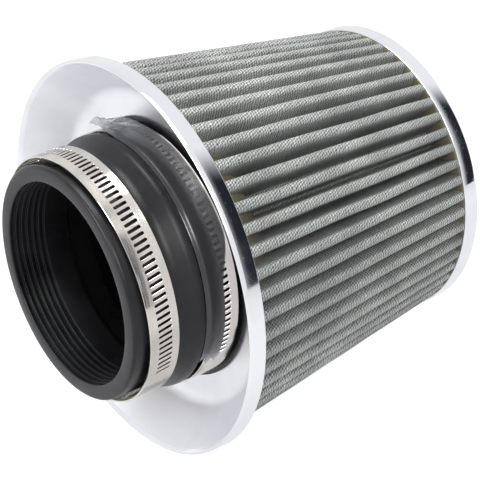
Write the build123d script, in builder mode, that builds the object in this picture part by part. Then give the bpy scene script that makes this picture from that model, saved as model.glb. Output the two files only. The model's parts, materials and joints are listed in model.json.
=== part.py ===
"""Clamp-on cone air filter: chrome base dish and end cap, pleated cone, rubber neck and adapter.

The filter's axis is +X. The origin is the centre of the open mouth, where the pipe goes in,
and the closed end cap is at the +X end. Angles round the axis run from +Y towards +Z.
"""

from build123d import *
from math import atan, cos, pi, radians, sin, tan
import os

os.makedirs("parts", exist_ok=True)

# adapter sleeve, from the mouth back
bore_radius = 38.0
mouth_wall = 6.0
mouth_chamfer = 1.0
front_seat_length = 20.0
shoulder_height = 4.0
shoulder_rise = 4.5
shoulder_land = 2.7
shoulder_crown = 0.2
shoulder_corner = 0.6
shoulder_curve_along = 0.42
shoulder_curve_up = 0.72
spigot_length = 8.0
spigot_wall = 3.8
bore_taper_length = 2.2
grip_rib_count = 6
grip_rib_start = 1.85
grip_rib_pitch = 2.46
grip_groove_depth = 0.9
grip_groove_width = 1.5

# rubber neck of the filter
neck_wall = 2.5
neck_edge_chamfer = 0.5
neck_seat_length = 15.0
neck_foot_height = 3.5
neck_foot_thickness = 1.0
neck_waist_height = 1.5
neck_collar_height = 5.5
neck_collar_thickness = 2.6
neck_flare_height = 2.0
neck_flare_length = 4.0

# chrome base dish, pressed from sheet
sheet = 0.8
dish_radius = 75.0
dish_depth = 19.2
dish_flank = 15.0
dish_bend_radius = 8.0
lip_bend_radius = 1.0
rim_depth = 7.9
rim_margin = 0.2

# pleated cone
pleat_count = 56
cone_length = 108.4
pleat_tip_inset = 3.6
pleat_depth = 15.0
cone_ratio = 0.803
pleat_fold_width = 3.9
pleat_gap_width = 1.1
wire_mesh_thickness = 0.25
media_thickness = 0.7
media_trim_gap = 1.0

# end cap, pressed from sheet
cap_overhang = 0.87
cap_rim_depth = 6.4
cap_flare = 0.5
cap_land = 9.2
cap_recess_depth = 1.5
cap_recess_bend_radius = 0.5
cap_potting_step = 0.2

# worm-drive clamps
band_width = 12.0
band_thickness = 0.7
front_band_slack = 2.0
rear_band_slack = 1.2
front_clamp_centre = 10.7
front_clamp_tilt = 2.3
front_clamp_tilt_heading = -90.0
clamp_heading = -66.0
slot_pitch = 2.42
slot_length = 6.0
slot_width = 1.25
slot_slant = 8.0
plain_start = 88.0
band_slot_margin = 4.0
tail_slot_margin = 5.0
band_end_gap = 38.0
tail_overlap = 20.0
tail_past_housing = 26.0
housing_length = 15.0
housing_wall = 0.9
housing_side_play = 0.25
saddle_thickness = 0.9
saddle_play = 0.1
saddle_sweep = 9.0
saddle_band_margin = 1.0
channel_play = 0.12
housing_end_wall = 1.2
worm_radius = 3.9
worm_core_radius = 3.1
worm_length = 12.4
worm_play = 0.15
tunnel_play = 0.08
screw_neck_radius = 2.4
screw_collar_radius = 4.4
screw_collar_thickness = 1.1
screw_collar_gap = 0.1
hex_across_flats = 7.0
hex_height = 4.2
driver_slot_width = 1.1
driver_slot_depth = 1.6

# clear film strip round the neck, over the front half of the rear clamp's band
film_thickness = 0.4
film_cover = 5.9
film_start = 66.0
film_end = 207.0

# small clearances
slide_play = 0.05
part_play = 0.35
cut_margin = 0.5

# radii that follow from the bore, the dish and the clearances
mouth_radius = bore_radius + mouth_wall
shoulder_radius = mouth_radius + shoulder_height
neck_bore_radius = mouth_radius
neck_seat_radius = neck_bore_radius + neck_wall
neck_foot_radius = neck_seat_radius + neck_foot_height
neck_waist_radius = neck_seat_radius + neck_waist_height
neck_collar_radius = neck_seat_radius + neck_collar_height
front_band_radius = mouth_radius + front_band_slack
rear_band_radius = neck_seat_radius + rear_band_slack
dish_floor_radius = dish_radius - dish_flank
pleat_tip_radius = dish_radius - pleat_tip_inset
cap_radius = pleat_tip_radius * cone_ratio + cap_overhang
cap_recess_radius = cap_radius - cap_land

# stations along the axis
shoulder_rear = front_seat_length + shoulder_rise + shoulder_land
spigot_rear = shoulder_rear + spigot_length
neck_foot_front = shoulder_rear + neck_seat_length
dish_floor = neck_foot_front + neck_foot_thickness
dish_lip = dish_floor - dish_depth
rim_rear = dish_lip + rim_depth
neck_rear = dish_floor + sheet + neck_collar_thickness
rear_clamp_centre = (shoulder_rear + neck_foot_front) / 2
cone_front = rim_rear + rim_margin
cone_rear = cone_front + cone_length
cap_front = cone_rear + cap_potting_step
cap_face = cap_front + cap_rim_depth


def keep(part, name):
    """Label a finished piece and write its STEP file."""
    part.label = name
    export_step(part, f"parts/{name}.step")
    print(f"{name}: {part.volume:.0f} mm3, {len(part.solids())} solid(s)")


def turned(outline, name):
    """A ring turned about the filter's axis from (axial, radial) corners."""
    with BuildPart() as ring:
        with BuildSketch(Plane.XZ):
            with BuildLine():
                Polyline(*outline, close=True)
            make_face()
        revolve(axis=Axis.X)
    keep(ring.part, name)


def strip_shape(inner, outer, start, end):
    """A ring sector between two radii and two angles, flat in its own sketch plane."""
    with BuildSketch() as strip:
        with BuildLine():
            CenterArc((0, 0), outer, start, end - start)
            CenterArc((0, 0), inner, start, end - start)
            for angle in (start, end):
                turn = radians(angle)
                Line((inner * cos(turn), inner * sin(turn)), (outer * cos(turn), outer * sin(turn)))
        make_face()
    return strip.sketch


# ---- adapter sleeve
with BuildPart() as adapter:
    with BuildSketch(Plane.XZ):
        with BuildLine():
            Polyline(
                (0, bore_radius),
                (0, mouth_radius - mouth_chamfer),
                (mouth_chamfer, mouth_radius),
                (front_seat_length, mouth_radius),
            )
            ThreePointArc(
                (front_seat_length, mouth_radius),
                (
                    front_seat_length + shoulder_curve_along * shoulder_rise,
                    mouth_radius + shoulder_curve_up * shoulder_height,
                ),
                (front_seat_length + shoulder_rise, shoulder_radius - shoulder_crown),
            )
            Polyline(
                (front_seat_length + shoulder_rise, shoulder_radius - shoulder_crown),
                (shoulder_rear - shoulder_corner, shoulder_radius),
                (shoulder_rear, shoulder_radius - shoulder_corner),
                (shoulder_rear, neck_bore_radius),
                (spigot_rear, neck_bore_radius),
                (spigot_rear, neck_bore_radius - spigot_wall),
                (shoulder_rear, neck_bore_radius - spigot_wall),
                (shoulder_rear - bore_taper_length, bore_radius),
                (0, bore_radius),
            )
        make_face()
    revolve(axis=Axis.X)
    with BuildSketch(Plane.XZ):
        for number in range(grip_rib_count):
            middle = bore_radius + (grip_groove_depth - cut_margin) / 2
            with Locations((grip_rib_start + grip_rib_pitch * number, middle)):
                Rectangle(grip_groove_width, grip_groove_depth + cut_margin)
    revolve(axis=Axis.X, mode=Mode.SUBTRACT)
keep(adapter.part, "adapter_sleeve")

# ---- rubber neck, gripping the edge of the dish's hole
turned(
    [
        (shoulder_rear, neck_bore_radius),
        (shoulder_rear, neck_seat_radius - neck_edge_chamfer),
        (shoulder_rear + neck_edge_chamfer, neck_seat_radius),
        (neck_foot_front, neck_seat_radius),
        (neck_foot_front, neck_foot_radius),
        (dish_floor, neck_foot_radius),
        (dish_floor, neck_waist_radius),
        (dish_floor + sheet, neck_waist_radius),
        (dish_floor + sheet, neck_collar_radius),
        (neck_rear, neck_collar_radius),
        (neck_rear, neck_bore_radius + neck_flare_height),
        (neck_rear - neck_flare_length, neck_bore_radius),
    ],
    "filter_neck",
)

# ---- chrome base dish with its rim
with BuildPart() as dish:
    with BuildSketch(Plane.XZ):
        with BuildLine():
            FilletPolyline(
                (dish_floor, neck_waist_radius),
                (dish_floor, dish_floor_radius),
                (dish_lip, dish_radius),
                (rim_rear, dish_radius),
                radius=[dish_bend_radius, lip_bend_radius],
            )
            offset(amount=sheet, side=Side.RIGHT, closed=True)
        make_face()
    revolve(axis=Axis.X)
keep(dish.part, "base_dish")

# ---- urethane behind the dish, where the front ends of the pleats are set
cone_slope = dish_depth / (dish_radius - dish_floor_radius)
sheet_along_axis = sheet * (1 + cone_slope**2) ** 0.5
rim_inside = dish_radius - sheet


def behind_dish(radius, gap):
    """Axial place of a line parallel to the dish's cone, a gap behind its back surface."""
    return dish_floor - cone_slope * (radius - dish_floor_radius) + sheet_along_axis + gap


def radius_behind_dish(station, gap):
    """Radius where that parallel line reaches an axial station."""
    return dish_floor_radius + (dish_floor + sheet_along_axis + gap - station) / cone_slope


trim_front = rim_rear - rim_margin
trim_top = radius_behind_dish(trim_front, media_trim_gap)
trim_bottom = radius_behind_dish(neck_rear, media_trim_gap)
turned(
    [
        (dish_floor + sheet, neck_collar_radius),
        (dish_floor + sheet, radius_behind_dish(dish_floor + sheet, 0)),
        (behind_dish(rim_inside - lip_bend_radius, 0), rim_inside - lip_bend_radius),
        (behind_dish(rim_inside, 0) + lip_bend_radius, rim_inside),
        (trim_front, rim_inside),
        (trim_front, trim_top),
        (neck_rear, trim_bottom),
        (neck_rear, neck_collar_radius),
    ],
    "base_potting",
)


# ---- pleated cone: wire mesh, media, wire mesh
def atan_of(width, radius):
    """Angle that a tangential width takes at a radius."""
    return atan(width / radius)


def pleat_wave(inset, scale):
    """Corners of the pleats' outline, set in by a layer depth, at one end of the cone."""
    pitch = 2 * pi / pleat_count
    crest = pleat_tip_radius - inset
    valley = pleat_tip_radius - pleat_depth - inset
    crest_half = atan_of(pleat_fold_width / 2 - inset, crest)
    valley_half = atan_of(pleat_gap_width / 2 + inset, valley)
    corners = []
    for number in range(pleat_count):
        middle = number * pitch
        for radius, turn in (
            (crest, middle - crest_half),
            (crest, middle + crest_half),
            (valley, middle + pitch / 2 - valley_half),
            (valley, middle + pitch / 2 + valley_half),
        ):
            corners.append((scale * radius * cos(turn), scale * radius * sin(turn)))
    return corners


def pleat_layer(depth, thickness, name):
    """One layer of the pleated cone, its front trimmed to the urethane behind the dish."""
    with BuildPart() as layer:
        for inset, mode in ((depth, Mode.ADD), (depth + thickness, Mode.SUBTRACT)):
            for station, scale in ((cone_front, 1.0), (cone_rear, cone_ratio)):
                with BuildSketch(Plane.YZ.offset(station)):
                    with BuildLine():
                        Polyline(*pleat_wave(inset, scale), close=True)
                    make_face()
            loft(ruled=True, mode=mode)
        with BuildSketch(Plane.XZ):
            with BuildLine():
                Polyline(
                    (0, 0),
                    (neck_rear, 0),
                    (neck_rear, trim_bottom),
                    (trim_front, trim_top),
                    (trim_front, dish_radius),
                    (0, dish_radius),
                    close=True,
                )
            make_face()
        revolve(axis=Axis.X, mode=Mode.SUBTRACT)
    keep(layer.part, name)


pleat_layer(0, wire_mesh_thickness, "outer_wire_mesh")
pleat_layer(wire_mesh_thickness, media_thickness, "filter_media")
pleat_layer(wire_mesh_thickness + media_thickness, wire_mesh_thickness, "inner_wire_mesh")

# ---- end cap and the urethane under it
with BuildPart() as cap:
    with BuildSketch(Plane.XZ):
        with BuildLine():
            FilletPolyline(
                (cap_front, cap_radius - cap_flare),
                (cap_face, cap_radius),
                (cap_face, cap_recess_radius + cap_recess_depth),
                (cap_face - cap_recess_depth, cap_recess_radius),
                (cap_face - cap_recess_depth, 0),
                radius=[lip_bend_radius, cap_recess_bend_radius, cap_recess_bend_radius],
            )
            offset(amount=sheet, side=Side.RIGHT, closed=True)
        make_face()
    revolve(axis=Axis.X)
keep(cap.part, "end_cap")

cap_inside = cap_radius - cap_flare - sheet
cap_back = cap_face - cap_recess_depth - sheet
turned(
    [(cone_rear, 0), (cone_rear, cap_inside), (cap_back, cap_inside), (cap_back, 0)],
    "cap_potting",
)


# ---- worm-drive clamps
def clamp_plane(centre, tilt, heading):
    """Plane through a clamp's middle, its normal along the clamp's own axis."""
    lean = tan(radians(tilt))
    across = radians(heading)
    return Plane(
        origin=(centre, 0, 0),
        x_dir=(lean * cos(across), 1, 0),
        z_dir=(1, -lean * cos(across), -lean * sin(across)),
    )


def slotted_strip(plane, inner, start, end, slots_start, slots_end, name):
    """Part of a clamp band: a strip on an arc, with a row of slanted worm slots."""
    pitch_angle = slot_pitch / (inner + band_thickness / 2) * 180 / pi
    slot_count = int((slots_end - slots_start) / pitch_angle)
    with BuildPart() as cutter:
        with BuildSketch(Plane.YZ):
            SlotOverall(slot_length, slot_width, rotation=90 + slot_slant)
        extrude(amount=band_thickness * 2, both=True)
    with BuildPart(plane) as strip:
        with BuildSketch(plane.offset(-band_width / 2)):
            add(strip_shape(inner, inner + band_thickness, start, end))
        extrude(amount=band_width)
        with PolarLocations(inner + band_thickness / 2, slot_count, slots_start, slot_count * pitch_angle):
            add(cutter.part, mode=Mode.SUBTRACT)
    keep(strip.part, name)


def worm_clamp(plane, inner, side):
    """All five pieces of one clamp: band, tail, saddle, housing and screw."""
    outer = inner + band_thickness
    tail_inner = outer + slide_play
    tail_outer = tail_inner + band_thickness
    worm_height = tail_outer + worm_play + worm_radius
    full_turn = clamp_heading - 360
    slotted_strip(
        plane,
        inner,
        full_turn + band_end_gap,
        clamp_heading + saddle_sweep - saddle_band_margin,
        full_turn + band_end_gap + band_slot_margin,
        clamp_heading - plain_start,
        f"{side}_clamp_band",
    )
    slotted_strip(
        plane,
        tail_inner,
        clamp_heading - tail_past_housing,
        clamp_heading + band_end_gap + tail_overlap,
        clamp_heading - tail_past_housing + tail_slot_margin,
        clamp_heading + band_end_gap + tail_overlap - band_slot_margin,
        f"{side}_clamp_tail",
    )

    inside_width = band_width + 2 * housing_side_play
    saddle_outer = inner - saddle_play
    saddle_inner = saddle_outer - saddle_thickness
    with BuildPart() as saddle:
        with BuildSketch(plane.offset(-inside_width / 2)):
            add(strip_shape(saddle_inner, saddle_outer, clamp_heading - saddle_sweep, clamp_heading + saddle_sweep))
        extrude(amount=inside_width)
    keep(saddle.part, f"{side}_clamp_saddle")

    # the housing's section is drawn across the tangent: axial to the right, radial up
    turn = radians(clamp_heading)
    outward = plane.x_dir * cos(turn) + plane.y_dir * sin(turn)
    section = Plane(origin=plane.origin, x_dir=plane.z_dir, z_dir=plane.z_dir.cross(outward))
    half_width = inside_width / 2 + housing_wall
    tunnel = worm_radius + tunnel_play
    tube = tunnel + housing_wall
    channel_top = tail_outer + channel_play
    with BuildPart() as housing:
        with BuildSketch(section.offset(-housing_length / 2)):
            with BuildLine():
                Polyline(
                    (-half_width, saddle_inner),
                    (half_width, saddle_inner),
                    (half_width, channel_top + housing_wall),
                    (tube, worm_height),
                    (-tube, worm_height),
                    (-half_width, channel_top + housing_wall),
                    close=True,
                )
            make_face()
            with Locations((0, worm_height)):
                Circle(tube)
                Circle(tunnel, mode=Mode.SUBTRACT)
            with Locations((0, (saddle_inner - cut_margin + channel_top) / 2)):
                Rectangle(inside_width, channel_top - saddle_inner + cut_margin, mode=Mode.SUBTRACT)
        extrude(amount=housing_length)
        for start in (-housing_length / 2, housing_length / 2 - housing_end_wall):
            with BuildSketch(section.offset(start)):
                with Locations((0, worm_height)):
                    Circle(tunnel)
                    Circle(screw_neck_radius + slide_play, mode=Mode.SUBTRACT)
            extrude(amount=housing_end_wall)
    keep(housing.part, f"{side}_clamp_housing")

    # the screw lies along the tangent, its head at the end of the housing away from the tail's end
    screw_start = -worm_length / 2
    axis_plane = Plane(
        origin=section.origin + outward * worm_height,
        x_dir=section.x_dir,
        z_dir=section.z_dir,
    )
    groove_count = int(worm_length / slot_pitch)
    with BuildPart(axis_plane) as screw:
        with BuildSketch(axis_plane.offset(screw_start)):
            Circle(worm_radius)
        extrude(amount=worm_length)
        with BuildSketch(axis_plane.offset(-housing_length / 2)):
            Circle(screw_neck_radius)
        extrude(amount=housing_length + 2 * screw_collar_gap)
        for number in range(groove_count):
            place = screw_start + (number + 0.5) * slot_pitch
            with BuildSketch(axis_plane.offset(place - slot_width / 2)):
                Circle(worm_radius + cut_margin)
                Circle(worm_core_radius, mode=Mode.SUBTRACT)
            extrude(amount=slot_width, mode=Mode.SUBTRACT)
        with BuildSketch(axis_plane.offset(housing_length / 2 + screw_collar_gap)):
            Circle(screw_collar_radius)
        extrude(amount=screw_collar_thickness)
        head_start = housing_length / 2 + screw_collar_gap + screw_collar_thickness
        with BuildSketch(axis_plane.offset(head_start)):
            RegularPolygon(hex_across_flats / 2, 6, major_radius=False)
        extrude(amount=hex_height)
        with BuildSketch(axis_plane.offset(head_start + hex_height - driver_slot_depth)):
            Rectangle(2 * hex_across_flats, driver_slot_width)
        extrude(amount=driver_slot_depth, mode=Mode.SUBTRACT)
    keep(screw.part, f"{side}_clamp_screw")
    print(side, "clamp axis", plane.z_dir, "screw axis", axis_plane.z_dir, "through", axis_plane.origin)
    print(side, "tail turn for one turn of the screw", slot_pitch / (tail_inner + band_thickness / 2))


front_plane = clamp_plane(front_clamp_centre, front_clamp_tilt, front_clamp_tilt_heading)
rear_plane = clamp_plane(rear_clamp_centre, 0, 0)
worm_clamp(front_plane, front_band_radius, "front")
worm_clamp(rear_plane, rear_band_radius, "rear")

# ---- clear film strip, turned in against the neck in front of the rear clamp's band
film_inner = rear_band_radius + band_thickness + part_play
film_front = rear_clamp_centre - band_width / 2 - part_play - film_thickness
with BuildPart() as film:
    with BuildSketch(Plane.YZ.offset(film_front)):
        add(strip_shape(film_inner, film_inner + film_thickness, film_start, film_end))
    extrude(amount=film_thickness + part_play + film_cover)
    with BuildSketch(Plane.YZ.offset(film_front)):
        add(strip_shape(neck_seat_radius, film_inner, film_start, film_end))
    extrude(amount=film_thickness)
keep(film.part, "film_strip")
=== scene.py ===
# Clamp-on cone air filter: chrome base dish and end cap, woven wire over pleats, rubber neck, hose clamps.
# Lengths in the dictionaries are millimetres, angles are degrees from +Y towards +Z round the filter's axis.
import json
import math
import bmesh
import bpy
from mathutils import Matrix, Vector, noise


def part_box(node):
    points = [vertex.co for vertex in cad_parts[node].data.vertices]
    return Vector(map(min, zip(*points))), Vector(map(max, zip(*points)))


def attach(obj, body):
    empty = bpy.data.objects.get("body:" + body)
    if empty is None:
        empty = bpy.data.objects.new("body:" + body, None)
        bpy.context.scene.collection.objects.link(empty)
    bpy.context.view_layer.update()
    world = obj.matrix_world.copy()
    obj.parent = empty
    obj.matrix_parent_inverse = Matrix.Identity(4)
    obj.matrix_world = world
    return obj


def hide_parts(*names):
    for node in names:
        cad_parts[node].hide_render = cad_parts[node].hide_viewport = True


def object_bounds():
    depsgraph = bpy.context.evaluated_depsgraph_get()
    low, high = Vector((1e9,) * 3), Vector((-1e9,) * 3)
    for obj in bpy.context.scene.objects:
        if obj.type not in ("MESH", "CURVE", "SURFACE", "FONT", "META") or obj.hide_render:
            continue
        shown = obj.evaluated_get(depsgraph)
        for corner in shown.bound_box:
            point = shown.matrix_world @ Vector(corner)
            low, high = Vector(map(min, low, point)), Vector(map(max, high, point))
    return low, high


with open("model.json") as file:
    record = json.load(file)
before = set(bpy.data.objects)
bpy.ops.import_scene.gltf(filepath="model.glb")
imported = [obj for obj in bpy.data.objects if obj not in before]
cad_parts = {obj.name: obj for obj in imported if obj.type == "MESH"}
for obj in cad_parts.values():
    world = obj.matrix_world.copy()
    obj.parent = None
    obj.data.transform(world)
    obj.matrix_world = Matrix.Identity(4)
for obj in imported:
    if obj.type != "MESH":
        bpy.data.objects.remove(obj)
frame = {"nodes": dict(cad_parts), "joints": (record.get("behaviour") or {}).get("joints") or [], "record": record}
cadLow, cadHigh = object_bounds()

mm = 0.001
fullTurn = 2 * math.pi


# ---- places read from the frame, in millimetres

def alongAxis(node):
    low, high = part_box(node)
    return low.x / mm, high.x / mm


def reachOf(node):
    low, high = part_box(node)
    return max(high.y, high.z) / mm


def jointNamed(name):
    return next(joint for joint in frame["joints"] if joint["name"] == name)


boreRadius = frame["record"]["mounts"][0]["dims"]["r_mm"]
mouthFace, adapterRear = alongAxis("adapter_sleeve")
shoulderRadius = reachOf("adapter_sleeve")
neckFront, neckRear = alongAxis("filter_neck")
collarRadius = reachOf("filter_neck")
dishLip, dishBack = alongAxis("base_dish")
dishRadius = reachOf("base_dish")
rimRear = alongAxis("base_potting")[0]
coneRear = alongAxis("outer_wire_mesh")[1]
capFront, capFace = alongAxis("end_cap")
capRadius = reachOf("end_cap")
sheet = 0.8
dishFloor = dishBack - sheet


# ---- mesh helpers

def polar(station, radius, angle):
    return Vector((station * mm, radius * mm * math.cos(angle), radius * mm * math.sin(angle)))


def smoothStep(value, low, high):
    share = min(1.0, max(0.0, (value - low) / (high - low)))
    return share * share * (3 - 2 * share)


def rounded(corners, steps=5):
    # a closed outline with its corners rounded: each corner is (x, y, fillet)
    points = []
    for number, (x, y, fillet) in enumerate(corners):
        here = Vector((x, y))
        if fillet == 0:
            points.append(here)
            continue
        before = Vector(corners[number - 1][:2]) - here
        after = Vector(corners[(number + 1) % len(corners)][:2]) - here
        reach = fillet / math.tan(before.angle(after) / 2)
        reach = min(reach, 0.48 * before.length, 0.48 * after.length)
        start = here + before.normalized() * reach
        end = here + after.normalized() * reach
        for step in range(steps + 1):
            share = step / steps
            points.append(start * (1 - share) ** 2 + here * 2 * share * (1 - share) + end * share**2)
    return points


def toObject(bm, name, body, material, sharpAngle=40):
    for face in bm.faces:
        face.smooth = True
    for edge in bm.edges:
        if len(edge.link_faces) == 2:
            edge.smooth = edge.calc_face_angle() < math.radians(sharpAngle)
    mesh = bpy.data.meshes.new(name)
    bm.to_mesh(mesh)
    bm.free()
    piece = bpy.data.objects.new(name, mesh)
    bpy.context.scene.collection.objects.link(piece)
    mesh.materials.append(material)
    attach(piece, body)
    return piece


def dressCarried(node, material):
    # a CAD node that stays in view, with a better material
    skins = frame["nodes"][node].data.materials
    skins.clear()
    skins.append(material)


def turnedPiece(name, outline, steps, body, material):
    # an (x, radius) outline turned once round the filter's axis
    bm = bmesh.new()
    corners = [bm.verts.new((x * mm, 0, radius * mm)) for x, radius in outline]
    edges = [bm.edges.new((corners[number - 1], corners[number])) for number in range(len(corners))]
    bmesh.ops.spin(bm, geom=corners + edges, cent=(0, 0, 0), axis=(1, 0, 0), angle=fullTurn,
                   steps=steps, use_merge=True)
    bmesh.ops.remove_doubles(bm, verts=bm.verts, dist=1e-6)
    bmesh.ops.recalc_face_normals(bm, faces=bm.faces)
    return toObject(bm, name, body, material)


def flatGrid(columns, rows):
    # a grid whose corners count columns along x and rows along y
    bm = bmesh.new()
    bmesh.ops.create_grid(bm, x_segments=columns, y_segments=rows, size=0.5)
    for corner in bm.verts:
        corner.co = Vector((round((corner.co.x + 0.5) * columns), round((corner.co.y + 0.5) * rows), 0))
    return bm


# ---- shader helpers

def addNode(tree, kind, inputs=None, **settings):
    node = tree.nodes.new(kind)
    for key, value in settings.items():
        setattr(node, key, value)
    for key, value in (inputs or {}).items():
        socket = node.inputs[key]
        if isinstance(value, bpy.types.NodeSocket):
            tree.links.new(value, socket)
        elif hasattr(value, "__len__") and len(value) == 3 and socket.type == "RGBA":
            socket.default_value = (*value, 1)
        else:
            socket.default_value = value
    return node


def calc(tree, operation, first, second=0.0, clamp=False):
    node = addNode(tree, "ShaderNodeMath", {0: first, 1: second}, operation=operation, use_clamp=clamp)
    return node.outputs[0]


def blendColour(tree, share, first, second):
    node = addNode(tree, "ShaderNodeMix", data_type="RGBA")
    for socket, value in zip((node.inputs[0], node.inputs[6], node.inputs[7]), (share, first, second)):
        if isinstance(value, bpy.types.NodeSocket):
            tree.links.new(value, socket)
        else:
            socket.default_value = value if socket.type == "VALUE" else (*value, 1)
    return node.outputs[2]


def ramp(tree, value, low, high, start=0.0, end=1.0):
    return addNode(tree, "ShaderNodeMapRange", {0: value, 1: low, 2: high, 3: start, 4: end},
                   interpolation_type="SMOOTHSTEP").outputs[0]


def newGroup(name, inputs, outputs):
    group = bpy.data.node_groups.new(name, "ShaderNodeTree")
    for label, kind, value in inputs:
        socket = group.interface.new_socket(name=label, in_out="INPUT", socket_type=kind)
        if value is not None:
            socket.default_value = value
    for label, kind in outputs:
        group.interface.new_socket(name=label, in_out="OUTPUT", socket_type=kind)
    return group, addNode(group, "NodeGroupInput"), addNode(group, "NodeGroupOutput")


def placeGroup(tree, group, **inputs):
    return addNode(tree, "ShaderNodeGroup", {key.replace("_", " "): value for key, value in inputs.items()},
                   node_tree=group)


def newMaterial(name):
    material = bpy.data.materials.new(name)
    material.use_nodes = True
    tree = material.node_tree
    tree.nodes.clear()
    shader = addNode(tree, "ShaderNodeBsdfPrincipled")
    addNode(tree, "ShaderNodeOutputMaterial", {"Surface": shader.outputs[0]})
    return material, tree, shader


def objectPlace(tree, scale=(1, 1, 1)):
    source = addNode(tree, "ShaderNodeTexCoord").outputs["Object"]
    return addNode(tree, "ShaderNodeMapping", {"Vector": source, "Scale": scale}).outputs[0]


def setBump(tree, shader, height, strength, distance):
    values = {"Height": height, "Strength": strength, "Distance": distance * mm}
    bump = addNode(tree, "ShaderNodeBump", values)
    tree.links.new(bump.outputs[0], shader.inputs["Normal"])


# ---- effects shared by several materials

def makeMottle():
    # soft clouds, fine grain and scattered specks
    group, source, result = newGroup(
        "mottle",
        [("Vector", "NodeSocketVector", None), ("Cloud Scale", "NodeSocketFloat", 60.0),
         ("Grain Scale", "NodeSocketFloat", 900.0)],
        [("Clouds", "NodeSocketFloat"), ("Grain", "NodeSocketFloat"), ("Specks", "NodeSocketFloat")],
    )
    clouds = addNode(group, "ShaderNodeTexNoise", {"Vector": source.outputs[0], "Scale": source.outputs[1],
                                                   "Detail": 4.0, "Roughness": 0.6}).outputs[0]
    grain = addNode(group, "ShaderNodeTexNoise", {"Vector": source.outputs[0], "Scale": source.outputs[2],
                                                  "Detail": 3.0, "Roughness": 0.65}).outputs[0]
    dust = addNode(group, "ShaderNodeTexVoronoi", {"Vector": source.outputs[0],
                                                   "Scale": source.outputs[2]}).outputs[0]
    group.links.new(ramp(group, clouds, 0.3, 0.7), result.inputs[0])
    group.links.new(grain, result.inputs[1])
    group.links.new(ramp(group, dust, 0.16, 0.06), result.inputs[2])
    return group


def makeBrushed():
    # fine lines that run one way, for rolled and spun metal
    group, source, result = newGroup(
        "brushedLines",
        [("Vector", "NodeSocketVector", None), ("Scale", "NodeSocketFloat", 400.0)],
        [("Lines", "NodeSocketFloat"), ("Smudge", "NodeSocketFloat")],
    )
    lines = addNode(group, "ShaderNodeTexNoise", {"Vector": source.outputs[0], "Scale": source.outputs[1],
                                                  "Detail": 3.0, "Roughness": 0.7}).outputs[0]
    smudge = addNode(group, "ShaderNodeTexNoise", {"Vector": source.outputs[0], "Scale": 14.0,
                                                   "Detail": 3.0}).outputs[0]
    group.links.new(lines, result.inputs[0])
    group.links.new(ramp(group, smudge, 0.35, 0.7), result.inputs[1])
    return group


def makeWeave():
    # weave of round wires, the warp leaning over the weft, each over and under the other
    group, source, result = newGroup(
        "wireWeave",
        [("Vector", "NodeSocketVector", None), ("Pitch", "NodeSocketFloat", 1.0),
         ("Stray", "NodeSocketFloat", 0.2)],
        [("Height", "NodeSocketFloat"), ("Wire", "NodeSocketFloat"), ("Crown Highlight", "NodeSocketFloat")],
    )
    flat = source.outputs[0]
    lean, over = 0.5, 0.36

    def vector(operation, inputs):
        return addNode(group, "ShaderNodeVectorMath", inputs, operation=operation).outputs[0]

    stray = addNode(group, "ShaderNodeTexNoise", {"Vector": flat, "Scale": 0.45, "Detail": 2.0}).outputs[1]
    centred = vector("SUBTRACT", {0: stray, 1: (0.5, 0.5, 0.5)})
    shift = vector("SCALE", {0: centred, "Scale": source.outputs[2]})
    parts = addNode(group, "ShaderNodeSeparateXYZ", {0: vector("ADD", {0: flat, 1: shift})})
    skewed = calc(group, "ADD", parts.outputs[0], calc(group, "MULTIPLY", parts.outputs[1], lean))
    waves = []
    for run in (skewed, parts.outputs[1]):
        turns = calc(group, "DIVIDE", run, source.outputs[1])
        waves.append(calc(group, "COSINE", calc(group, "MULTIPLY", turns, math.pi)))
    heights = []
    for own, other, side in ((waves[0], waves[1], over), (waves[1], waves[0], -over)):
        ridge = calc(group, "SQRT", calc(group, "ABSOLUTE", own))
        lift = calc(group, "MULTIPLY", calc(group, "MULTIPLY", calc(group, "SIGN", own), other), side)
        heights.append(calc(group, "MULTIPLY", ridge, calc(group, "ADD", lift, 1 - over)))
    height = calc(group, "MAXIMUM", heights[0], heights[1])
    group.links.new(height, result.inputs[0])
    group.links.new(ramp(group, height, 0.42, 0.62), result.inputs[1])
    # the third output marks the top of each wire, which the wire materials paint paler as a painted highlight
    group.links.new(ramp(group, height, 0.8, 0.98), result.inputs[2])
    return group


mottle = makeMottle()
brushedLines = makeBrushed()
wireWeave = makeWeave()


# ---- materials

rubberLook = {"dark": (0.006, 0.006, 0.007), "worn": (0.018, 0.018, 0.02), "matt": 0.42, "specular": 0.3}


def makeRubber(name, shine):
    material, tree, shader = newMaterial(name)
    spots = placeGroup(tree, mottle, Vector=objectPlace(tree), Cloud_Scale=42.0, Grain_Scale=1500.0)
    bloom = calc(tree, "MULTIPLY", spots.outputs[0], 0.55)
    dusty = calc(tree, "ADD", bloom, calc(tree, "MULTIPLY", spots.outputs[2], 0.25), clamp=True)
    colour = blendColour(tree, dusty, rubberLook["dark"], rubberLook["worn"])
    tree.links.new(colour, shader.inputs["Base Color"])
    dull = ramp(tree, spots.outputs[0], 0.0, 1.0, shine, rubberLook["matt"])
    tree.links.new(dull, shader.inputs["Roughness"])
    shader.inputs["Specular IOR Level"].default_value = rubberLook["specular"]
    setBump(tree, shader, spots.outputs[1], 0.25, 0.06)
    return material


chromeLook = {"colour": (0.83, 0.835, 0.865), "hazed": (0.76, 0.765, 0.8), "polish": 0.035, "haze": 0.1,
              "satin": 0.3, "satinEdge": 72.8, "satinFade": 0.6}


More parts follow.
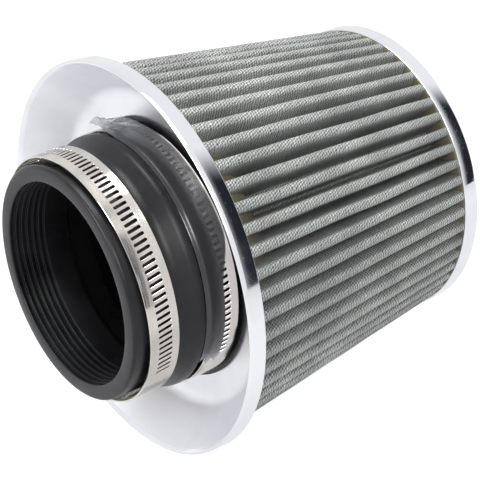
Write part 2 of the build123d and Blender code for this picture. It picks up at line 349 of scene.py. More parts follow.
def makeChrome(name, satinShare):
    # satinShare dulls the face inside the rim, which stays a mirror
    material, tree, shader = newMaterial(name)
    across = objectPlace(tree, (0, 1, 1))
    ring = addNode(tree, "ShaderNodeVectorMath", {0: across}, operation="LENGTH").outputs["Value"]
    rings = addNode(tree, "ShaderNodeCombineXYZ", {0: calc(tree, "MULTIPLY", ring, 12.0)}).outputs[0]
    lines = placeGroup(tree, brushedLines, Vector=rings, Scale=140.0)
    marks = placeGroup(tree, mottle, Vector=objectPlace(tree), Cloud_Scale=26.0, Grain_Scale=620.0)
    haze = calc(tree, "MULTIPLY", marks.outputs[0], marks.outputs[0])
    colour = blendColour(tree, haze, chromeLook["colour"], chromeLook["hazed"])
    tree.links.new(colour, shader.inputs["Base Color"])
    polish = ramp(tree, haze, 0.0, 1.0, chromeLook["polish"], chromeLook["haze"])
    edge = chromeLook["satinEdge"] * mm
    face = ramp(tree, ring, edge, edge + chromeLook["satinFade"] * mm, chromeLook["satin"] * satinShare, 0.0)
    worn = calc(tree, "ADD", calc(tree, "MULTIPLY", marks.outputs[2], 0.12), face)
    tree.links.new(calc(tree, "ADD", polish, worn), shader.inputs["Roughness"])
    shader.inputs["Metallic"].default_value = 1.0
    waves = calc(tree, "ADD", calc(tree, "MULTIPLY", lines.outputs[0], 0.05), marks.outputs[0])
    setBump(tree, shader, waves, 0.1, 0.05)
    return material


steelLook = {"colour": (0.7, 0.665, 0.61), "tarnish": (0.45, 0.415, 0.36), "shine": 0.1, "dull": 0.24}


def makeSteel(name, stretch, colour, dull):
    # stretch shortens the lines' pattern along each axis, so a small number makes long lines that way
    material, tree, shader = newMaterial(name)
    lines = placeGroup(tree, brushedLines, Vector=objectPlace(tree, stretch), Scale=900.0)
    marks = placeGroup(tree, mottle, Vector=objectPlace(tree), Cloud_Scale=70.0, Grain_Scale=1400.0)
    stain = calc(tree, "ADD", calc(tree, "MULTIPLY", lines.outputs[1], 0.3),
                 calc(tree, "MULTIPLY", marks.outputs[2], 0.4), clamp=True)
    tree.links.new(blendColour(tree, stain, colour, steelLook["tarnish"]), shader.inputs["Base Color"])
    polish = ramp(tree, lines.outputs[0], 0.3, 0.7, steelLook["shine"], dull)
    tree.links.new(polish, shader.inputs["Roughness"])
    shader.inputs["Metallic"].default_value = 1.0
    waves = calc(tree, "ADD", calc(tree, "MULTIPLY", lines.outputs[0], 0.4), marks.outputs[0])
    setBump(tree, shader, waves, 0.2, 0.03)
    return material


# the crown colours paint a highlight on the wire tops, and the gap colours paint shade in the openings between the
# wires
wireLook = {"pitch": 1.15, "stray": 1.7, "metal": 0.3, "shine": 0.34, "dull": 0.6,
            "wire": (0.42, 0.44, 0.425), "crown": (0.85, 0.87, 0.84), "gap": (0.03, 0.036, 0.033),
            "insideWireLit": (0.5, 0.51, 0.5), "insideCrownHighlight": (0.9, 0.91, 0.9),
            "insideGapShade": (0.01, 0.012, 0.011)}


def makeWire(name, wire, crown, gap):
    material, tree, shader = newMaterial(name)
    place = addNode(tree, "ShaderNodeUVMap", uv_map="mesh").outputs[0]
    weave = placeGroup(tree, wireWeave, Vector=place, Pitch=wireLook["pitch"], Stray=wireLook["stray"])
    marks = placeGroup(tree, mottle, Vector=objectPlace(tree), Cloud_Scale=35.0, Grain_Scale=700.0)
    # the top of each wire is painted paler: a painted highlight
    wires = blendColour(tree, weave.outputs[2], wire, crown)
    dusty = blendColour(tree, calc(tree, "MULTIPLY", marks.outputs[0], 0.4), wires, gap)
    # the openings between the wires are painted near black: painted shade
    tree.links.new(blendColour(tree, weave.outputs[1], gap, dusty), shader.inputs["Base Color"])
    metal = calc(tree, "MULTIPLY", weave.outputs[1], wireLook["metal"])
    tree.links.new(metal, shader.inputs["Metallic"])
    polish = ramp(tree, marks.outputs[1], 0.3, 0.7, wireLook["shine"], wireLook["dull"])
    tree.links.new(polish, shader.inputs["Roughness"])
    setBump(tree, shader, weave.outputs[0], 1.0, 0.34)
    return material


# gap paints shade in the spaces between the threads
mediaLook = {"pitch": 0.55, "stray": 0.5, "shade": (0.075, 0.085, 0.075), "pale": (0.13, 0.14, 0.125),
             "gap": (0.03, 0.035, 0.03), "sheen": 0.3}


def makeMedia():
    material, tree, shader = newMaterial("cottonMedia")
    place = addNode(tree, "ShaderNodeUVMap", uv_map="mesh").outputs[0]
    weave = placeGroup(tree, wireWeave, Vector=place, Pitch=mediaLook["pitch"], Stray=mediaLook["stray"])
    marks = placeGroup(tree, mottle, Vector=objectPlace(tree), Cloud_Scale=40.0, Grain_Scale=900.0)
    colour = blendColour(tree, marks.outputs[0], mediaLook["shade"], mediaLook["pale"])
    # the spaces between the threads are painted dark: painted shade
    threads = blendColour(tree, weave.outputs[1], mediaLook["gap"], colour)
    tree.links.new(threads, shader.inputs["Base Color"])
    tree.links.new(ramp(tree, marks.outputs[1], 0.3, 0.7, 0.8, 0.97), shader.inputs["Roughness"])
    shader.inputs["Sheen Weight"].default_value = mediaLook["sheen"]
    setBump(tree, shader, weave.outputs[0], 0.6, 0.12)
    return material


urethaneLook = {"shade": (0.15, 0.138, 0.09), "pale": (0.24, 0.222, 0.15), "speck": (0.12, 0.108, 0.07),
                "depth": (0.002, 0.0015, 0.0008), "glow": 0.08}


def makeUrethane():
    material, tree, shader = newMaterial("castUrethane")
    marks = placeGroup(tree, mottle, Vector=objectPlace(tree), Cloud_Scale=55.0, Grain_Scale=520.0)
    colour = blendColour(tree, marks.outputs[0], urethaneLook["shade"], urethaneLook["pale"])
    specked = blendColour(tree, marks.outputs[2], colour, urethaneLook["speck"])
    tree.links.new(specked, shader.inputs["Base Color"])
    tree.links.new(ramp(tree, marks.outputs[1], 0.3, 0.7, 0.42, 0.66), shader.inputs["Roughness"])
    shader.inputs["Subsurface Weight"].default_value = urethaneLook["glow"]
    shader.inputs["Subsurface Radius"].default_value = urethaneLook["depth"]
    setBump(tree, shader, marks.outputs[1], 0.5, 0.2)
    return material


# pale is a painted sheen for the loose and torn film, dark is the film lying tight on the black rubber
filmLook = {"dark": (0.008, 0.008, 0.01), "pale": (0.4, 0.41, 0.44), "gloss": 0.12, "clouded": 0.26,
            "cover": 0.94, "looseCover": 0.42, "thinCover": 0.55, "coat": 0.6, "coatGloss": 0.16}


def makeFilm():
    material, tree, shader = newMaterial("stretchFilm")
    loose = addNode(tree, "ShaderNodeAttribute", attribute_name="loose").outputs["Fac"]
    marks = placeGroup(tree, mottle, Vector=objectPlace(tree), Cloud_Scale=90.0, Grain_Scale=420.0)
    # the film is painted pale where it is loose or torn: painted sheen caught in the crumpled and torn film
    colour = blendColour(tree, loose, filmLook["dark"], filmLook["pale"])
    tree.links.new(colour, shader.inputs["Base Color"])
    polish = ramp(tree, marks.outputs[0], 0.0, 1.0, filmLook["gloss"], filmLook["clouded"])
    tree.links.new(polish, shader.inputs["Roughness"])
    thin = addNode(tree, "ShaderNodeAttribute", attribute_name="thin").outputs["Fac"]
    tight = ramp(tree, loose, 0.0, 1.0, filmLook["cover"], filmLook["looseCover"])
    cover = calc(tree, "MULTIPLY", tight, ramp(tree, thin, 0.0, 1.0, 1.0, filmLook["thinCover"]))
    tree.links.new(cover, shader.inputs["Alpha"])
    shader.inputs["Coat Weight"].default_value = filmLook["coat"]
    shader.inputs["Coat Roughness"].default_value = filmLook["coatGloss"]
    setBump(tree, shader, marks.outputs[0], 0.12, 0.12)
    return material


rubberMatt = makeRubber("adapterRubber", 0.26)
rubberNeck = makeRubber("neckRubber", 0.22)
dishChromeLook = makeChrome("dishChromeLook", 1.0)
capChromeLook = makeChrome("capChromeLook", 0.0)
bandSteel = makeSteel("bandSteel", (1, 0.06, 0.06), steelLook["colour"], steelLook["dull"])
housingSteel = makeSteel("housingSteel", (1, 0.3, 0.3), (0.66, 0.645, 0.61), 0.42)
screwSteel = makeSteel("screwSteel", (1, 0.2, 1), (0.6, 0.6, 0.61), 0.4)
outerWire = makeWire("outerWire", wireLook["wire"], wireLook["crown"], wireLook["gap"])
# the inside wire is painted paler than the outside wire, as painted light inside the cone, with darker painted
# shade in its openings
innerWire = makeWire("innerWire", wireLook["insideWireLit"], wireLook["insideCrownHighlight"], wireLook["insideGapShade"])
media = makeMedia()
urethane = makeUrethane()
film = makeFilm()
print("materials ready")


# ---- rubber adapter: ribbed mouth, seat for the front clamp, shoulder, spigot

adapter = {"wall": 6.0, "seatEnd": 18.8, "shoulderTop": 24.3, "spigotWall": 3.8, "taper": 2.2,
           "ribs": 6, "ribPitch": 2.46, "ribStart": 1.85, "grooveWidth": 1.5, "grooveDepth": 0.9,
           "lipRounding": 1.3, "ribRounding": 0.28, "innerStep": 0.25, "mouthEase": 0.7, "seatFillet": 6.0,
           "shoulderFillet": 5.0, "shoulderEase": 0.8, "spigotEase": 0.5, "throatEase": 0.6,
           "taperEase": 0.4, "boreEase": 0.2, "boreStep": 0.9, "cornerSteps": 3, "segments": 160}


def makeAdapter():
    mouthRadius = boreRadius + adapter["wall"]
    spigotInside = mouthRadius - adapter["spigotWall"]
    corners = [
        (mouthFace, boreRadius, adapter["mouthEase"]),
        (mouthFace, mouthRadius, adapter["lipRounding"]),
        (adapter["seatEnd"], mouthRadius, adapter["seatFillet"]),
        (adapter["shoulderTop"], shoulderRadius, adapter["shoulderFillet"]),
        (neckFront, shoulderRadius, adapter["shoulderEase"]),
        (neckFront, mouthRadius, 0),
        (adapterRear, mouthRadius, adapter["spigotEase"]),
        (adapterRear, spigotInside, adapter["spigotEase"]),
        (neckFront, spigotInside, adapter["throatEase"]),
        (neckFront - adapter["taper"], boreRadius + adapter["innerStep"], adapter["taperEase"]),
        (neckFront - adapter["taper"] - adapter["boreStep"], boreRadius, adapter["boreEase"]),
    ]
    for number in reversed(range(adapter["ribs"])):
        middle = adapter["ribStart"] + adapter["ribPitch"] * number
        front = middle - adapter["grooveWidth"] / 2
        rear = middle + adapter["grooveWidth"] / 2
        floor = boreRadius + adapter["grooveDepth"]
        corners += [(rear, boreRadius, adapter["ribRounding"]), (rear, floor, adapter["ribRounding"]),
                    (front, floor, adapter["ribRounding"]), (front, boreRadius, adapter["ribRounding"])]
    outline = rounded(corners, adapter["cornerSteps"])
    piece = turnedPiece("adapterRubber", outline, adapter["segments"], "filter", rubberMatt)
    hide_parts("adapter_sleeve")


makeAdapter()
print("adapter ready")


# ---- rubber neck, moulded round the edge of the dish's hole

neck = {"seatRadius": 46.5, "footRadius": 50.0, "footThickness": 1.0, "waistRadius": 48.0,
        "flare": 2.0, "flareLength": 4.0, "rounding": 0.35, "edgeEase": 0.5, "footFillet": 0.8,
        "flareFillet": 0.8, "cornerSteps": 4, "segments": 160}


def makeNeck():
    bore = boreRadius + adapter["wall"]
    footFront = dishFloor - neck["footThickness"]
    corners = [
        (neckFront, bore, 0),
        (neckFront, neck["seatRadius"], neck["edgeEase"]),
        (footFront, neck["seatRadius"], neck["footFillet"]),
        (footFront, neck["footRadius"], neck["rounding"]),
        (dishFloor, neck["footRadius"], 0),
        (dishFloor, neck["waistRadius"], 0),
        (dishBack, neck["waistRadius"], 0),
        (dishBack, collarRadius, 0),
        (neckRear, collarRadius, neck["rounding"]),
        (neckRear, bore + neck["flare"], neck["rounding"]),
        (neckRear - neck["flareLength"], bore, neck["flareFillet"]),
    ]
    outline = rounded(corners, neck["cornerSteps"])
    piece = turnedPiece("neckRubber", outline, neck["segments"], "filter", rubberNeck)
    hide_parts("filter_neck")


makeNeck()
print("neck ready")


# ---- chrome base dish, pressed from sheet with a turned rim

dish = {"depth": 19.2, "flank": 15.0, "floorBend": 8.0, "lipRounding": 1.0, "rimDepth": 7.9,
        "holeRadius": 48.0, "holeEase": 0.15, "rimEase": 0.3, "insideBend": 0.4, "cornerSteps": 12,
        "segments": 288}
lipCorner = dishFloor - dish["depth"]
floorRadius = dishRadius - dish["flank"]
flankSlope = dish["depth"] / dish["flank"]
sheetAlong = sheet * math.hypot(1, flankSlope)


def behindDish(radius, gap):
    return dishFloor - flankSlope * (radius - floorRadius) + sheetAlong + gap


def makeDish():
    rimEnd = lipCorner + dish["rimDepth"]
    inside = dishRadius - sheet
    corners = [
        (dishFloor, dish["holeRadius"], dish["holeEase"]),
        (dishFloor, floorRadius, dish["floorBend"]),
        (lipCorner, dishRadius, dish["lipRounding"]),
        (rimEnd, dishRadius, dish["rimEase"]),
        (rimEnd, inside, dish["rimEase"]),
        (behindDish(inside, 0), inside, dish["insideBend"]),
        (dishBack, floorRadius + (sheetAlong - sheet) / flankSlope, dish["floorBend"] - sheet),
        (dishBack, dish["holeRadius"], dish["holeEase"]),
    ]
    outline = rounded(corners, dish["cornerSteps"])
    piece = turnedPiece("dishChrome", outline, dish["segments"], "filter", dishChromeLook)
    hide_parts("base_dish")


makeDish()
dressCarried("base_potting", urethane)
print("dish ready")


# ---- chrome end cap with a shallow pressed recess

cap = {"flare": 0.5, "landWidth": 9.2, "recess": 1.5, "cornerRounding": 1.3, "edgeEase": 0.35,
       "recessFillet": 0.7, "pressOffset": 0.4, "cornerSteps": 8, "segments": 256}


def makeCap():
    recessRadius = capRadius - cap["landWidth"]
    recessTop = recessRadius + cap["recess"]
    floor = capFace - cap["recess"]
    fillet = cap["recessFillet"]
    corners = [
        (capFront, capRadius - cap["flare"], cap["edgeEase"]),
        (capFace, capRadius, cap["cornerRounding"]),
        (capFace, recessTop, fillet),
        (floor, recessRadius, fillet),
        (floor, 0, 0),
        (floor - sheet, 0, 0),
        (floor - sheet, recessRadius + cap["pressOffset"], fillet),
        (capFace - sheet, recessTop + cap["pressOffset"], fillet),
        (capFace - sheet, capRadius - sheet, cap["cornerRounding"] - sheet),
        (capFront, capRadius - cap["flare"] - sheet, cap["edgeEase"]),
    ]
    outline = rounded(corners, cap["cornerSteps"])
    piece = turnedPiece("capChrome", outline, cap["segments"], "filter", capChromeLook)
    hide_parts("end_cap")


makeCap()
dressCarried("cap_potting", urethane)
print("end cap ready")


# ---- pleated cone: woven wire, cotton media, woven wire

pleats = {"count": 56, "tipRadius": 71.4, "depth": 15.0, "foldWidth": 3.9, "gapWidth": 1.1,
          "endScale": 0.803, "crestRounding": 1.75, "valleyRounding": 0.45,
          "wander": 0.22, "wanderAlong": 0.035, "wobble": 0.25, "wobbleAlong": 0.06, "frontGap": 0.2,
          "wireThickness": 0.25, "mediaThickness": 0.7, "trimGap": 1.0, "longestStep": 6.0}
coneFront = rimRear + pleats["frontGap"]


def pleatCorners(inset):
    crest = pleats["tipRadius"] - inset
    valley = crest - pleats["depth"]
    crestHalf = math.atan((pleats["foldWidth"] / 2 - inset) / crest)
    valleyHalf = math.atan((pleats["gapWidth"] / 2 + inset) / valley)
    crestFillet = max(0.3, pleats["crestRounding"] - inset)
    valleyFillet = pleats["valleyRounding"] + inset
    half = math.pi / pleats["count"]
    corners = []
    for number in range(pleats["count"]):
        middle = 2 * half * number
        for radius, place, spread, fillet in ((crest, middle, crestHalf, crestFillet),
                                              (valley, middle + half, valleyHalf, valleyFillet)):
            for turn in (place - spread, place + spread):
                corners.append((radius * math.cos(turn), radius * math.sin(turn), fillet))
    return corners


def pleatedLayer(name, inset, thickness, rings, steps, material, node):
    # wave is the layer's section; it closes on itself, so the last column repeats the first
    wave = []
    for point in rounded(pleatCorners(inset), steps):
        if wave and (point - wave[-1]).length > pleats["longestStep"]:
            wave += [wave[-1].lerp(point, share / 3) for share in (1, 2)]
        wave.append(point)
    wave.append(wave[0])
    around = [0.0]
    for before, after in zip(wave, wave[1:]):
        around.append(around[-1] + (after - before).length)
    bm = flatGrid(len(wave) - 1, rings)
    weaveMap = bm.loops.layers.uv.new("mesh")
    column = {corner: int(corner.co.x) for corner in bm.verts}
    for corner in bm.verts:
        point = wave[column[corner]]
        radius = point.length
        turn = math.atan2(point.y, point.x)
        front = min(max(coneFront, behindDish(radius, pleats["trimGap"])), neckRear)
        share = corner.co.y / rings
        station = front + (coneRear - front) * share
        number = round(turn / fullTurn * pleats["count"]) % pleats["count"]
        crestShare = smoothStep(radius, pleats["tipRadius"] - pleats["depth"], pleats["tipRadius"])
        loose = math.sin(math.pi * share) ** 0.6
        swayPlace = Vector((number * 7.3, station * pleats["wanderAlong"], 0.0))
        liftPlace = Vector((number * 3.1, station * pleats["wobbleAlong"], 9.0))
        sway = noise.noise(swayPlace) * pleats["wander"] * loose
        lift = noise.noise(liftPlace) * pleats["wobble"] * loose
        scale = 1 + (pleats["endScale"] - 1) * (station - coneFront) / (coneRear - coneFront)
        radius = min(radius * scale + crestShare * lift, pleats["tipRadius"] * scale)
        corner.co = polar(station, radius, turn + sway * crestShare / radius * 2)
    for face in bm.faces:
        for loop in face.loops:
            loop[weaveMap].uv = (around[column[loop.vert]], loop.vert.co.x / mm)
    bmesh.ops.remove_doubles(bm, verts=bm.verts, dist=1e-6)
    bmesh.ops.recalc_face_normals(bm, faces=bm.faces)
    bmesh.ops.solidify(bm, geom=bm.faces, thickness=thickness * mm)
    piece = toObject(bm, name, "filter", material, 60)
    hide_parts(node)


wireThickness = pleats["wireThickness"]
mediaThickness = pleats["mediaThickness"]
pleatedLayer("wireOuter", 0, wireThickness, 36, 4, outerWire, "outer_wire_mesh")
pleatedLayer("pleatMedia", wireThickness, mediaThickness, 12, 2, media, "filter_media")
pleatedLayer("wireInner", wireThickness + mediaThickness, wireThickness, 12, 2, innerWire,
             "inner_wire_mesh")
print("pleats ready")


# ---- worm-drive clamps: punched bands and tails, with the housings and screws

clamp = {"width": 12.0, "thickness": 0.7, "pitch": 2.42, "slot": 5.6, "slotWidth": 1.1, "slant": 8.0,
         "heading": -66.0, "gap": 38.0, "plain": 88.0, "overlap": 20.0, "pastHousing": 26.0,
         "underHousing": 8.0, "bandLead": 4.0, "tailLead": 5.0, "plainStep": 2.4, "slotCorners": 16,
         "slide": 0.05, "edgeBevel": 0.14, "crown": 0.14, "ripple": 0.1, "housingBevel": 0.18,
         "screwBevel": 0.15}
clampSides = {
    "front": {"radius": 46.0, "joint": "front_clamp_turn", "offset": 0.35},
    "rear": {"radius": 47.7, "joint": "rear_clamp_turn", "offset": 0.0},
}


def slotCell(offset):
    # one pitch of the punched band, flat: a rectangle round a slanted slot
    bm = bmesh.new()
    loops = []
    for outer in (False, True):
        made = bmesh.ops.create_circle(bm, segments=clamp["slotCorners"], radius=1.0)["verts"]
        for corner in made:
            angle = math.atan2(corner.co.y, corner.co.x)
            if outer:
                reach = 1 / max(abs(math.cos(angle)), abs(math.sin(angle)))
                corner.co = Vector((math.cos(angle) * reach * clamp["pitch"] / 2,
                                    math.sin(angle) * reach * clamp["width"] / 2, 0))
            else:
                half = clamp["slotWidth"] / 2
                straight = clamp["slot"] / 2 - half
                x = math.cos(angle) * half
                y = math.sin(angle) * half + math.copysign(straight, math.sin(angle) + 1e-6)
                lean = math.radians(clamp["slant"])
                corner.co = Vector((x * math.cos(lean) - y * math.sin(lean),
                                    x * math.sin(lean) + y * math.cos(lean) + offset, 0))
        loops += {edge for corner in made for edge in corner.link_edges}
    bmesh.ops.bridge_loops(bm, edges=loops)
    return bm


def roundNormals(mesh, centre, axis):
    # the inside and outside of a band shade as slightly crowned and rippled strip, and its edges as they are
    normals = []
    for face in mesh.polygons:
        for index in face.vertices:
            spoke = mesh.vertices[index].co - centre
            across = axis * spoke.dot(axis)
            spoke = (spoke - across).normalized()
            side = math.copysign(1, face.normal.dot(spoke))
            flat = abs(face.normal.dot(spoke)) > 0.95
            turn = math.atan2(spoke.z, spoke.y)
            ripple = clamp["ripple"] * (math.sin(11 * turn + 1) + 0.6 * math.sin(23 * turn))
            crown = across * (clamp["crown"] / (clamp["width"] * mm))
            bent = spoke * side + crown + axis.cross(spoke) * ripple
            normals.append(bent.normalized() if flat else face.normal)
    mesh.normals_split_custom_set(normals)


def bandPiece(name, inner, start, end, slotStart, slotEnd, side, body, node):
    # flat strip of cells and plain stretches, thickened, bevelled, then bent round the clamp's axis
    joint = jointNamed(side["joint"])
    axis = Vector(joint["axis"]).normalized()
    centre = Vector(joint["pos_m"])
    level = Vector((0, 1, 0))
    upward = axis.cross(level)
    middle = inner + clamp["thickness"] / 2
    pitchAngle = math.degrees(clamp["pitch"] / middle)
    cells = int((slotEnd - slotStart) / pitchAngle)
    bm = slotCell(side["offset"])
    cell = bm.verts[:] + bm.edges[:] + bm.faces[:]
    for number in range(1, cells):
        copy = bmesh.ops.duplicate(bm, geom=cell)["geom"]
        corners = [item for item in copy if isinstance(item, bmesh.types.BMVert)]
        bmesh.ops.translate(bm, verts=corners, vec=(number * clamp["pitch"], 0, 0))
    # the plain ends run on from the outermost cells' edges
    slotLead = math.radians(slotStart) * middle
    half = clamp["pitch"] / 2
    for edgePlace, target in ((-half, math.radians(start) * middle - slotLead - half),
                              (cells * clamp["pitch"] - half, math.radians(end) * middle - slotLead - half)):
        length = target - edgePlace
        pieces = max(1, round(abs(length) / clamp["plainStep"]))
        place = edgePlace
        for number in range(pieces):
            row = [edge for edge in bm.edges
                   if all(abs(corner.co.x - place) < 1e-4 for corner in edge.verts)]
            grown = bmesh.ops.extrude_edge_only(bm, edges=row)["geom"]
            corners = [item for item in grown if isinstance(item, bmesh.types.BMVert)]
            bmesh.ops.translate(bm, verts=corners, vec=(length / pieces, 0, 0))
            place += length / pieces
    bmesh.ops.remove_doubles(bm, verts=bm.verts, dist=1e-4)
    bmesh.ops.recalc_face_normals(bm, faces=bm.faces)
    if sum(face.normal.z for face in bm.faces) < 0:
        bmesh.ops.reverse_faces(bm, faces=bm.faces)
    bmesh.ops.solidify(bm, geom=bm.faces, thickness=clamp["thickness"])
    sharp = [edge for edge in bm.edges if len(edge.link_faces) == 2 and edge.calc_face_angle() > 1.2]
    bmesh.ops.bevel(bm, geom=sharp, offset=clamp["edgeBevel"], segments=1, profile=0.5, affect="EDGES",
                    material=-1)
    low = min(corner.co.z for corner in bm.verts)
    for corner in bm.verts:
        turn = (slotLead + half + corner.co.x) / middle
        radius = inner + corner.co.z - low
        spoke = level * math.cos(turn) + upward * math.sin(turn)
        corner.co = centre + axis * corner.co.y * mm + spoke * radius * mm
    bmesh.ops.recalc_face_normals(bm, faces=bm.faces)
    piece = toObject(bm, name, body, bandSteel, 50)
    roundNormals(piece.data, centre, axis)
    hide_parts(node)


def softenedCopy(name, node, body, material, bevel):
    # the CAD piece's own shape with its edges eased
    bm = bmesh.new()
    bm.from_mesh(frame["nodes"][node].data)
    bmesh.ops.remove_doubles(bm, verts=bm.verts, dist=1e-6)
    bmesh.ops.dissolve_limit(bm, angle_limit=math.radians(2), verts=bm.verts, edges=bm.edges)
    sharp = [edge for edge in bm.edges if len(edge.link_faces) == 2 and edge.calc_face_angle() > 0.7]
    bmesh.ops.bevel(bm, geom=sharp, offset=bevel * mm, segments=2, profile=0.5, affect="EDGES",
                    material=-1, clamp_overlap=True)
    piece = toObject(bm, name, body, material, 35)
    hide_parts(node)


def makeClamp(label, side):
    heading = clamp["heading"]
    housing = f"{label}_clamp_housing"
    bandStart = heading - 360 + clamp["gap"]
    tailStart = heading - clamp["pastHousing"]
    tailEnd = heading + clamp["gap"] + clamp["overlap"]
    tailInner = side["radius"] + clamp["thickness"] + clamp["slide"]
    bandPiece(f"{label}Band", side["radius"], bandStart, heading + clamp["underHousing"],
              bandStart + clamp["bandLead"], heading - clamp["plain"],
              side, f"{label}_clamp", f"{label}_clamp_band")
    bandPiece(f"{label}Tail", tailInner, tailStart, tailEnd,
              tailStart + clamp["tailLead"], tailEnd - clamp["bandLead"],
              side, f"{label}_tail", f"{label}_clamp_tail")
    softenedCopy(f"{label}Housing", housing, f"{label}_clamp", housingSteel,
                 clamp["housingBevel"])
    softenedCopy(f"{label}Screw", f"{label}_clamp_screw", f"{label}_screw", screwSteel,
                 clamp["screwBevel"])
    dressCarried(f"{label}_clamp_saddle", housingSteel)


for sideName, sideValues in clampSides.items():
    makeClamp(sideName, sideValues)
print("clamps ready")


# ---- clear film strip over the neck and the rear band, crumpled at its start and torn at its end

filmStrip = {"start": 64.0, "end": 203.0, "front": 27.3, "rear": 34.6, "seat": 47.8, "over": 48.75,
             "rise": 1.5, "crumpled": 22.0, "crumpleLift": 3.6, "wrinkle": 0.05, "thickness": 0.12,
             "columns": 260, "rows": 24, "tear": 5.0, "teeth": 2.3, "toothPhase": 0.2, "ragged": 5.0,
             "wrinkleAround": 0.16, "wrinkleAlong": 0.35, "looseWrinkle": 1.6, "tornWrinkle": 0.5,
             "looseSlide": 2.2, "tornSheen": 0.8, "thinStep": 0.6, "widened": 5.4, "widenedTo": (146.0, 170.0)}


def makeFilmStrip():
    bm = flatGrid(filmStrip["columns"], filmStrip["rows"])
    looseness = bm.verts.layers.float.new("loose")
    thinness = bm.verts.layers.float.new("thin")
    rear = filmStrip["rear"]
    for corner in bm.verts:
        along = corner.co.x / filmStrip["columns"]
        across = corner.co.y / filmStrip["rows"]
        tooth = abs((across * filmStrip["teeth"] + filmStrip["toothPhase"]) % 1 - 0.5) * 2 * filmStrip["tear"]
        start = filmStrip["start"] + filmStrip["ragged"] * noise.noise(Vector((across * 3, 4.0, 0)))
        angle = start + (filmStrip["end"] + tooth - start) * along
        extra = filmStrip["widened"] * (1 - smoothStep(angle, *filmStrip["widenedTo"]))
        station = filmStrip["front"] + (rear + extra - filmStrip["front"]) * across
        thin = smoothStep(station, rear - filmStrip["thinStep"], rear + filmStrip["thinStep"])
        seated = smoothStep(station, filmStrip["front"], filmStrip["front"] + filmStrip["rise"])
        radius = filmStrip["seat"] + (filmStrip["over"] - filmStrip["seat"]) * seated
        free = 1 - smoothStep(angle, filmStrip["start"], filmStrip["start"] + filmStrip["crumpled"])
        torn = smoothStep(angle, filmStrip["end"] - 6, filmStrip["end"] + 4)
        place = Vector((angle * filmStrip["wrinkleAround"], station * filmStrip["wrinkleAlong"], 0))
        wrinkle = noise.noise(place) + 0.5 * noise.noise(place * 2.3)
        amount = filmStrip["wrinkle"] + filmStrip["looseWrinkle"] * free + filmStrip["tornWrinkle"] * torn
        radius += abs(wrinkle) * amount + filmStrip["crumpleLift"] * free * (0.35 + 0.65 * (1 - across))
        slide = filmStrip["looseSlide"] * free * noise.noise(Vector((angle * 0.3, across * 2, 7.0)))
        station -= slide * (1 - across)
        # the loose and torn parts are marked for the film's painted sheen and its thinner cover
        corner[looseness] = max(free, filmStrip["tornSheen"] * torn)
        corner[thinness] = thin
        corner.co = polar(station, radius, math.radians(angle))
    bmesh.ops.recalc_face_normals(bm, faces=bm.faces)
    bmesh.ops.solidify(bm, geom=bm.faces, thickness=filmStrip["thickness"] * mm)
    piece = toObject(bm, "filmStrip", "filter", film, 60)
    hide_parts("film_strip")


makeFilmStrip()
print("film ready")


# ---- floor, light and camera

studio = {"floorSize": 6.0, "floorGap": 0.0006, "floorTone": (0.22, 0.22, 0.225), "fill": 0.55,
          "floorGlow": 0.93, "floorLight": 0.5, "floorMirrored": 0.72,
          "white": (0.98, 0.985, 1.0), "dark": (0.02, 0.022, 0.03),
          "sidePlace": (-1.1, 0.15, 0.45), "sideSize": 0.5, "sidePower": 9.0,
          "keyPlace": (-0.45, -0.95, 0.9), "keySize": 0.5, "keyPower": 8.0,
          "topPlace": (0.1, 0.2, 1.3), "topSize": 0.8, "topPower": 12.0}


def seenShare(tree, fill):
    # full strength where the camera or a reflection looks, less as a light
    path = addNode(tree, "ShaderNodeLightPath")
    seen = calc(tree, "MAXIMUM", path.outputs["Is Camera Ray"], path.outputs["Is Glossy Ray"])
    return ramp(tree, seen, 0.0, 1.0, fill, 1.0)


def makeFloor():
    bm = bmesh.new()
    bmesh.ops.create_grid(bm, x_segments=4, y_segments=4, size=studio["floorSize"] / 2)
    bmesh.ops.translate(bm, verts=bm.verts, vec=(0, 0, cadLow.z - studio["floorGap"]))
    mesh = bpy.data.meshes.new("floor")
    bm.to_mesh(mesh)
    bm.free()
    floor = bpy.data.objects.new("floor", mesh)
    bpy.context.scene.collection.objects.link(floor)
    material, tree, shader = newMaterial("paleFloor")
    shader.inputs["Base Color"].default_value = (*studio["floorTone"], 1)
    shader.inputs["Roughness"].default_value = 0.9
    shader.inputs["Emission Color"].default_value = (*studio["white"], 1)
    path = addNode(tree, "ShaderNodeLightPath")
    glow = ramp(tree, path.outputs["Is Camera Ray"], 0.0, 1.0, studio["floorLight"], studio["floorGlow"])
    extra = studio["floorMirrored"] - studio["floorLight"]
    mirrored = calc(tree, "MULTIPLY", path.outputs["Is Glossy Ray"], extra)
    tree.links.new(calc(tree, "ADD", glow, mirrored), shader.inputs["Emission Strength"])
    mesh.materials.append(material)


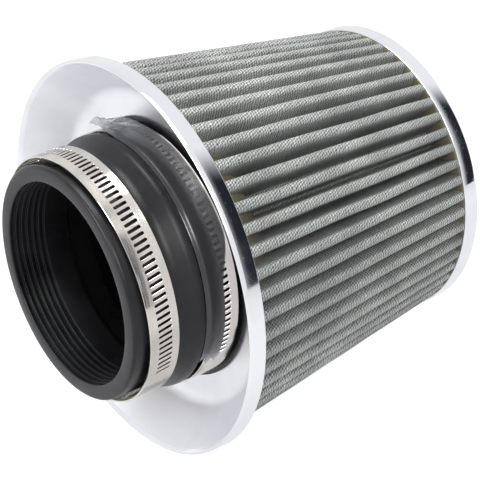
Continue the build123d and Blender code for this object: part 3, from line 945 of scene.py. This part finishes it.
def makeLight(label, place, size, power, target):
    lamp = bpy.data.lights.new(label, "AREA")
    lamp.energy = power
    lamp.size = size
    light = bpy.data.objects.new(label, lamp)
    bpy.context.scene.collection.objects.link(light)
    light.location = place
    light.rotation_euler = (target - Vector(place)).to_track_quat("-Z", "Y").to_euler()


def makeWorld():
    # a white room with one dark side, which the turned edges of the chrome pick up
    world = bpy.data.worlds.new("studio")
    world.use_nodes = True
    tree = world.node_tree
    tree.nodes.clear()
    towards = addNode(tree, "ShaderNodeTexCoord").outputs["Generated"]
    parts = addNode(tree, "ShaderNodeSeparateXYZ", {0: towards})
    beside = ramp(tree, parts.outputs[0], 0.45, 0.52)
    facing = ramp(tree, parts.outputs[1], -0.12, -0.45)
    above = ramp(tree, parts.outputs[2], -0.36, -0.2)
    wall = calc(tree, "MULTIPLY", calc(tree, "MULTIPLY", beside, facing), above)
    colour = blendColour(tree, wall, studio["white"], studio["dark"])
    strength = seenShare(tree, studio["fill"])
    background = addNode(tree, "ShaderNodeBackground", {"Color": colour, "Strength": strength})
    addNode(tree, "ShaderNodeOutputWorld", {"Surface": background.outputs[0]})
    bpy.context.scene.world = world


view = {"azimuth": -37.44, "elevation": 30.69, "lens": 117.44, "offset": (-0.2613, -0.4097, 0.2964)}


def makeCamera():
    lens = bpy.data.cameras.new("camera")
    lens.lens = view["lens"]
    lens.sensor_width = 36
    lens.clip_start = 0.01
    camera = bpy.data.objects.new("camera", lens)
    bpy.context.scene.collection.objects.link(camera)
    azimuth = math.radians(view["azimuth"])
    elevation = math.radians(view["elevation"])
    forward = Vector((-math.sin(azimuth) * math.cos(elevation), math.cos(azimuth) * math.cos(elevation),
                      -math.sin(elevation)))
    camera.location = Vector((dishLip * mm, 0, 0)) + Vector(view["offset"])
    camera.rotation_euler = forward.to_track_quat("-Z", "Y").to_euler()
    bpy.context.scene.camera = camera


makeFloor()
makeWorld()
middlePlace = (cadLow + cadHigh) / 2
makeLight("key", studio["keyPlace"], studio["keySize"], studio["keyPower"], middlePlace)
makeLight("side", studio["sidePlace"], studio["sideSize"], studio["sidePower"], middlePlace)
makeLight("top", studio["topPlace"], studio["topSize"], studio["topPower"], middlePlace)
makeCamera()
bpy.context.scene.view_settings.view_transform = "Standard"
print("studio ready")
